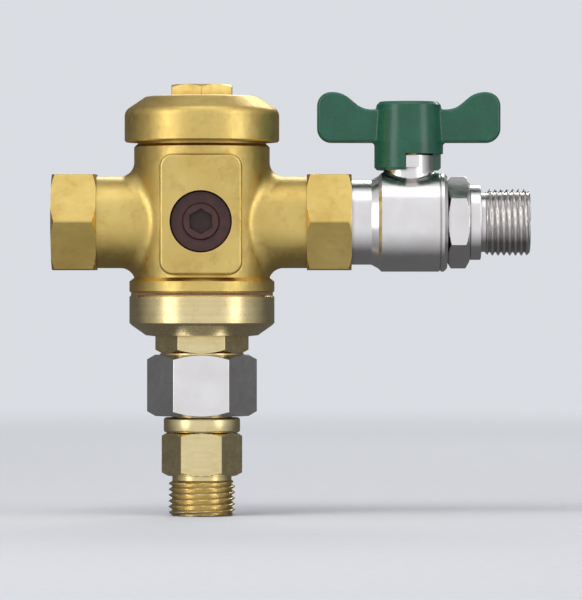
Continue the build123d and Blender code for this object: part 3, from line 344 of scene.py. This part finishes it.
def fibre():
    """Pressed fibre sheet, with short hairs in it."""
    m = Nodes("fibre_gasket")
    hairs = m.noise(0.6 * MM, detail=4, roughness=0.7, stretch=(1.0, 1.0, 5.0))
    colour = m.ramp(hairs, (0.35, (0.10, 0.05, 0.03)), (0.65, (0.24, 0.13, 0.07)))
    m.set(Base_Color=colour, Roughness=0.8)
    m.bump((hairs, 0.03 * MM, 0.7))
    return m.material


def stainless():
    """Drawn or turned stainless steel."""
    m = Nodes("stainless_steel")
    colour = m.ramp(m.noise(2 * MM, detail=5), (0.3, (0.50, 0.50, 0.49)), (0.7, (0.62, 0.62, 0.61)))
    # painted shade: the steel darker where ambient occlusion finds corners
    colour = m.mix(m.ramp(m.hollow(1 * MM), (0.2, 0.0), (0.9, 0.7)), colour, (0.06, 0.05, 0.045))
    gloss = m.ramp(m.noise(0.8 * MM, detail=5), (0.3, 0.18), (0.7, 0.32))
    m.set(Base_Color=colour, Metallic=1.0, Roughness=gloss)
    m.bump((m.noise(0.3 * MM, detail=3), 0.005 * MM, 0.5))
    return m.material


materials = {
    "cast_brass": cast_brass(),
    "machined_brass": machined_brass(),
    "nickel_plate": nickel_plate(),
    "ball_chrome": chrome(),
    "green_paint": green_paint(),
    "plug_plastic": moulded("plug_plastic", (0.060, 0.018, 0.014), (0.034, 0.010, 0.009), 0.42),
    "fibre_gasket": fibre(),
    "black_rubber": moulded("black_rubber", (0.030, 0.030, 0.031), (0.018, 0.018, 0.019), 0.6),
    "white_plastic": moulded("white_plastic", (0.80, 0.80, 0.77), (0.72, 0.72, 0.69), 0.42),
    "stainless_steel": stainless(),
}
slots = {part["node"]: part["material_slot"] for part in frame["record"]["subparts"]}
for node, slot in slots.items():
    mesh = frame["nodes"][node].data
    mesh.materials.clear()
    mesh.materials.append(materials[slot])


# ------------------------------------------------------ turned pieces with threads
SEGMENTS = 288
ROUNDING = 0.35 * MM  # the corners of the hexagons
HEX_STEP = 0.25 * MM  # between the rings of a hexagon
HEX_EDGE = 0.05 * MM
THREAD_STEP = 0.12 * MM  # between the rings of a thread
UNDERCUT_R = 9.3 * MM  # the groove behind a G 1/2 thread
UNDERCUT = 1.4 * MM
ALONG_X = Matrix(((0, 0, 1, 0), (0, 1, 0, 0), (-1, 0, 0, 0), (0, 0, 0, 1)))


def hexagon(across_flats, low, high, turn):
    """Radius of a hexagon bar with rounded corners, its ends turned off at 30 degrees."""
    half = across_flats / 2
    centre = (half - ROUNDING) / math.cos(math.radians(30))
    tangent = math.atan2((half - ROUNDING) * math.tan(math.radians(30)), half)

    def radius(angle, height):
        off = (angle - turn) % math.radians(60)
        from_flat = abs(off - math.radians(30))
        if from_flat < tangent:
            reach = half / math.cos(from_flat)
        else:
            off_corner = math.radians(30) - from_flat
            sideways = centre * math.sin(off_corner)
            reach = centre * math.cos(off_corner) + math.sqrt(ROUNDING**2 - sideways**2)
        inward = min(height - low, high - height)
        return min(reach, half * 0.985 + max(0.0, inward) / math.tan(math.radians(30)))

    return radius


def screw(major, low, high, side=1):
    """Radius of a rounded helical thread; side is 1 for an outside thread, -1 in a bore."""
    sharpness = 0.94
    bevel = 1.0 * MM

    def radius(angle, height):
        turns = height / PITCH - angle / math.tau
        wave = math.asin(sharpness * math.sin(math.tau * turns)) / math.asin(sharpness)
        ridge = major - THREAD_DEPTH * (1 - wave) / 2
        inward = max(0.0, min(height - low, high - height))
        if side > 0:
            return min(ridge, major - bevel + inward)
        return max(ridge, major - THREAD_DEPTH + bevel - inward)

    return radius


def stretch(start, end, radius, side=1, edge=0.15 * MM, step=None):
    """Rings along one stretch of a turned piece, its two edges rounded."""
    length = abs(end - start)
    way = 1 if end > start else -1
    corner = [edge * (1 - math.cos(math.radians(turn))) for turn in (0, 22, 45, 67)]
    straight = length - 2 * edge
    count = max(1, round(straight / (step or length)))
    gaps = corner + [edge + straight * i / count for i in range(count + 1)]
    gaps += [length - gap for gap in reversed(corner)]
    rings = []
    for gap in gaps:
        short = max(0.0, edge - min(gap, length - gap))
        cut = side * (edge - math.sqrt(max(0.0, edge**2 - short**2)))
        rings.append((start + way * gap, cut, radius))
    return rings


def spun(name, place, rings, slot, replaced=None):
    """A closed piece made of rings about an axis; place puts the axis in the frame."""
    points = []
    for height, cut, radius in rings:
        for step in range(SEGMENTS):
            angle = math.tau * step / SEGMENTS
            reach = (radius(angle, height) if callable(radius) else radius) - cut
            points.append(place @ Vector((reach * math.cos(angle), reach * math.sin(angle), height)))
    faces = []
    for ring in range(len(rings)):
        here = ring * SEGMENTS
        there = (ring + 1) % len(rings) * SEGMENTS
        for step in range(SEGMENTS):
            after = (step + 1) % SEGMENTS
            faces.append((here + step, here + after, there + after, there + step))
    mesh = bpy.data.meshes.new(name)
    mesh.from_pydata(points, [], faces)
    tidy = bmesh.new()
    tidy.from_mesh(mesh)
    bmesh.ops.remove_doubles(tidy, verts=tidy.verts, dist=0.0005 * MM)
    bmesh.ops.recalc_face_normals(tidy, faces=tidy.faces)
    tidy.to_mesh(mesh)
    tidy.free()
    mesh.shade_smooth()
    mesh.set_sharp_from_angle(angle=math.radians(40))
    mesh.materials.append(materials[slot])
    piece = bpy.data.objects.new(name, mesh)
    bpy.context.collection.objects.link(piece)
    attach(piece, "body")
    if replaced:
        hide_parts(replaced)
    return piece


def drain_adapter():
    """The last hexagon of the drain, with its G 1/2 thread."""
    low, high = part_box("drain_adapter")
    hex_high = high.z - 4.7 * MM
    hex_low = high.z - 18.3 * MM
    thread_top = hex_low - UNDERCUT
    socket_floor = high.z - 9.1 * MM
    collar_r = 12 * MM
    waterway_r = 6 * MM
    socket_r = 8.32 * MM
    bar = hexagon(22 * MM, hex_low, hex_high, 0.0)
    thread = screw(G12_R, low.z, thread_top)
    rings = stretch(high.z, hex_high, collar_r, edge=0.8 * MM)
    rings += stretch(hex_high, hex_low, bar, edge=HEX_EDGE, step=HEX_STEP)
    rings += stretch(hex_low, thread_top, UNDERCUT_R, edge=0.0)
    rings += stretch(thread_top, low.z, thread, edge=0.0, step=THREAD_STEP)
    rings += stretch(low.z, socket_floor, waterway_r, side=-1, edge=0.3 * MM)
    rings += stretch(socket_floor, high.z, socket_r, side=-1)
    place = Matrix.Translation((BARREL_X, 0, 0))
    spun("drain_adapter_threaded", place, rings, "machined_brass", "drain_adapter")


def valve_end_piece():
    """The end piece of the isolating valve, with its G 1/2 thread."""
    low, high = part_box("valve_end_piece")
    barrel_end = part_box("valve_body")[1].x
    hex_end = barrel_end + 7 * MM
    thread_start = high.x - 14 * MM
    groove_start = thread_start - UNDERCUT
    cavity_floor = high.x - 27.5 * MM
    spigot_r = 12.48 * MM
    collar_r = 11.8 * MM
    waterway_r = 7 * MM
    cavity_r = 11 * MM
    bar = hexagon(25.2 * MM, barrel_end, hex_end, 0.0)
    thread = screw(G12_R, thread_start, high.x)
    rings = stretch(low.x, barrel_end, spigot_r)
    rings += stretch(barrel_end, hex_end, bar, edge=HEX_EDGE, step=HEX_STEP)
    rings += stretch(hex_end, groove_start, collar_r, edge=0.4 * MM)
    rings += stretch(groove_start, thread_start, UNDERCUT_R, edge=0.0)
    rings += stretch(thread_start, high.x, thread, edge=0.0, step=THREAD_STEP)
    rings += stretch(high.x, cavity_floor, waterway_r, side=-1, edge=0.3 * MM)
    rings += stretch(cavity_floor, low.x, cavity_r, side=-1)
    spun("valve_end_piece_threaded", ALONG_X, rings, "nickel_plate", "valve_end_piece")


def outlet_thread():
    """The G 3/4 thread cut in the outlet's bore, a thin sleeve on the bore's wall."""
    start = 0.3 * MM
    end = 14.2 * MM
    thread = screw(G34_R, start, end, side=-1)
    outside = G34_R + 0.02 * MM
    rings = stretch(start, end, thread, edge=0.0, step=THREAD_STEP)
    rings += stretch(end, start, outside, edge=0.0)
    spun("outlet_thread", ALONG_X, rings, "cast_brass")


drain_adapter()
valve_end_piece()
outlet_thread()


# -------------------------------------------------- pieces that stand in for CAD nodes, the diaphragm with blend weights
def stand_in(node, name):
    """A piece with a CAD node's shape and finish, which stands for that node."""
    piece = bpy.data.objects.new(name, frame["nodes"][node].data.copy())
    bpy.context.collection.objects.link(piece)
    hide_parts(node)
    return piece


def spring(node):
    """A spring with its CAD node's shape and finish, attached to the body with a mesh of its own."""
    piece = stand_in(node, node + "_coil")
    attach(piece, "body")
    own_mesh(piece)


def diaphragm():
    """The diaphragm, clamped at its rim, with its middle on the relief stem."""
    rim = 14.6 * MM
    middle = 12.4 * MM
    piece = stand_in("diaphragm", "diaphragm_sheet")
    height = middle_of("diaphragm").z
    start = (BARREL_X + rim, 0, height)
    end = (BARREL_X + middle, 0, height)
    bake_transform(piece, "body", "relief_stem", start, end)
    # blend weighs points along one line; these go by the distance from the stem's axis
    for point, weight in zip(piece.data.vertices, piece.data.attributes["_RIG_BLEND"].data):
        radius = math.hypot(point.co.x - BARREL_X, point.co.y)
        share = min(1.0, max(0.0, (rim - radius) / (rim - middle)))
        weight.value = share**2 * (3 - 2 * share)


spring("relief_spring")
spring("inlet_check_spring")
spring("outlet_check_spring")
diaphragm()


# ------------------------------------------------------- stage, lights and camera
FLOOR_Z = LOW.z - 0.2 * MM


def turned_sheet(name, outline):
    """A sheet turned round the object's own upright axis, from (radius, height) points."""
    steps = 96
    points = []
    for radius, z in outline:
        for step in range(steps):
            angle = math.tau * step / steps
            points.append((MIDDLE.x + radius * math.cos(angle), radius * math.sin(angle), z))
    faces = []
    for ring in range(len(outline) - 1):
        for step in range(steps):
            after = (step + 1) % steps
            here = ring * steps
            faces.append((here + step, here + after, here + steps + after, here + steps + step))
    mesh = bpy.data.meshes.new(name)
    mesh.from_pydata(points, [], faces)
    mesh.shade_smooth()
    sheet = bpy.data.objects.new(name, mesh)
    bpy.context.collection.objects.link(sheet)
    sheet.visible_glossy = False
    return sheet


def paper():
    """Pale paper that glows more with distance, so that it looks the same all round."""
    m = Nodes("paper")
    tone = m.ramp(m.noise(4 * MM, detail=4), (0.3, (0.53, 0.54, 0.56)), (0.7, (0.56, 0.57, 0.59)))
    m.set(Base_Color=tone, Roughness=0.9)
    distance, _ = m.from_axis(*BARREL_AXIS)
    far = m.add("ShaderNodeMapRange", interpolation_type="SMOOTHSTEP")
    m.join(distance, far.inputs["Value"])
    far.inputs["From Min"].default_value = 0.3
    far.inputs["From Max"].default_value = 1.6
    glow = m.add("ShaderNodeEmission")
    glow.inputs["Color"].default_value = (0.70, 0.72, 0.76, 1)
    blend = m.add("ShaderNodeMixShader")
    m.join(far.outputs["Result"], blend.inputs["Fac"])
    m.join(m.shader.outputs["BSDF"], blend.inputs[1])
    m.join(glow.outputs["Emission"], blend.inputs[2])
    m.join(blend.outputs["Shader"], m.output.inputs["Surface"])
    return m.material


def stage():
    """A round pale floor, and a surround that curves up from it and stops no light."""
    reach = 1.9
    curve = 0.4
    wall_top = 3
    steps = 12
    floor = turned_sheet("floor", [(0.0, FLOOR_Z), (reach, FLOOR_Z)])
    outline = []
    for step in range(steps + 1):
        angle = math.radians(90 * step / steps)
        outline.append((reach + curve * math.sin(angle), FLOOR_Z + curve * (1 - math.cos(angle))))
    outline.append((reach + curve, wall_top))
    surround = turned_sheet("surround", outline)
    surround.visible_diffuse = False
    surround.visible_shadow = False
    material = paper()
    floor.data.materials.append(material)
    surround.data.materials.append(material)


def softbox(name, azimuth, elevation, size, power, mirrored=True, distance=1.1):
    """A soft area light that faces the object; azimuth 0 is the camera's side."""
    turn = math.radians(azimuth)
    lift = math.radians(elevation)
    away = Vector((math.sin(turn) * math.cos(lift), -math.cos(turn) * math.cos(lift), math.sin(lift)))
    data = bpy.data.lights.new(name, "AREA")
    data.shape = "RECTANGLE"
    data.size = size[0]
    data.size_y = size[1]
    data.energy = power
    light = bpy.data.objects.new(name, data)
    light.location = MIDDLE + away * distance
    light.rotation_euler = (-away).to_track_quat("-Z", "Y").to_euler()
    light.visible_glossy = mirrored
    light.visible_camera = False
    bpy.context.collection.objects.link(light)


def sky():
    """Light from all round: bright above and in front, dark below and behind."""
    world = bpy.data.worlds.new("studio")
    bpy.context.scene.world = world
    world.use_nodes = True
    tree = world.node_tree
    background = tree.nodes["Background"]
    place = tree.nodes.new("ShaderNodeTexCoord")
    facing = tree.nodes.new("ShaderNodeVectorMath")
    facing.operation = "DOT_PRODUCT"
    facing.inputs[1].default_value = (0.0, -0.86, 0.51)
    half = tree.nodes.new("ShaderNodeMapRange")
    half.inputs["From Min"].default_value = -1
    ramp = tree.nodes.new("ShaderNodeValToRGB")
    ramp.color_ramp.elements[0].position = 0.30
    ramp.color_ramp.elements[0].color = (0.13, 0.13, 0.135, 1)
    ramp.color_ramp.elements[1].position = 0.80
    ramp.color_ramp.elements[1].color = (0.93, 0.94, 0.98, 1)
    tree.links.new(place.outputs["Generated"], facing.inputs[0])
    tree.links.new(facing.outputs["Value"], half.inputs["Value"])
    tree.links.new(half.outputs["Result"], ramp.inputs["Fac"])
    tree.links.new(ramp.outputs["Color"], background.inputs["Color"])
    background.inputs["Strength"].default_value = 0.9


def camera():
    """A long lens, level with the object, that faces the test port."""
    distance = 1.6
    margin = 1.22
    picture_shape = 600 / 582
    data = bpy.data.cameras.new("camera")
    data.sensor_width = 36
    shown_height = margin * max(SIZE.x * picture_shape, SIZE.z)
    data.lens = data.sensor_width * distance / shown_height
    data.clip_end = 20
    seen = bpy.data.objects.new("camera", data)
    seen.location = MIDDLE + Vector((0, -distance, 0))
    seen.rotation_euler = (math.radians(90), 0, 0)
    bpy.context.collection.objects.link(seen)
    bpy.context.scene.camera = seen
    bpy.context.scene.view_settings.view_transform = "Standard"


stage()
sky()
softbox("left", -52, 18, (0.45, 1.1), 2.6)
softbox("right", 54, 20, (0.40, 1.1), 2.2)
softbox("top", 0, 78, (0.9, 0.6), 1.1)
softbox("key", -28, 58, (0.5, 0.5), 5, mirrored=False)
softbox("back", 170, 35, (0.7, 0.4), 3)
camera()
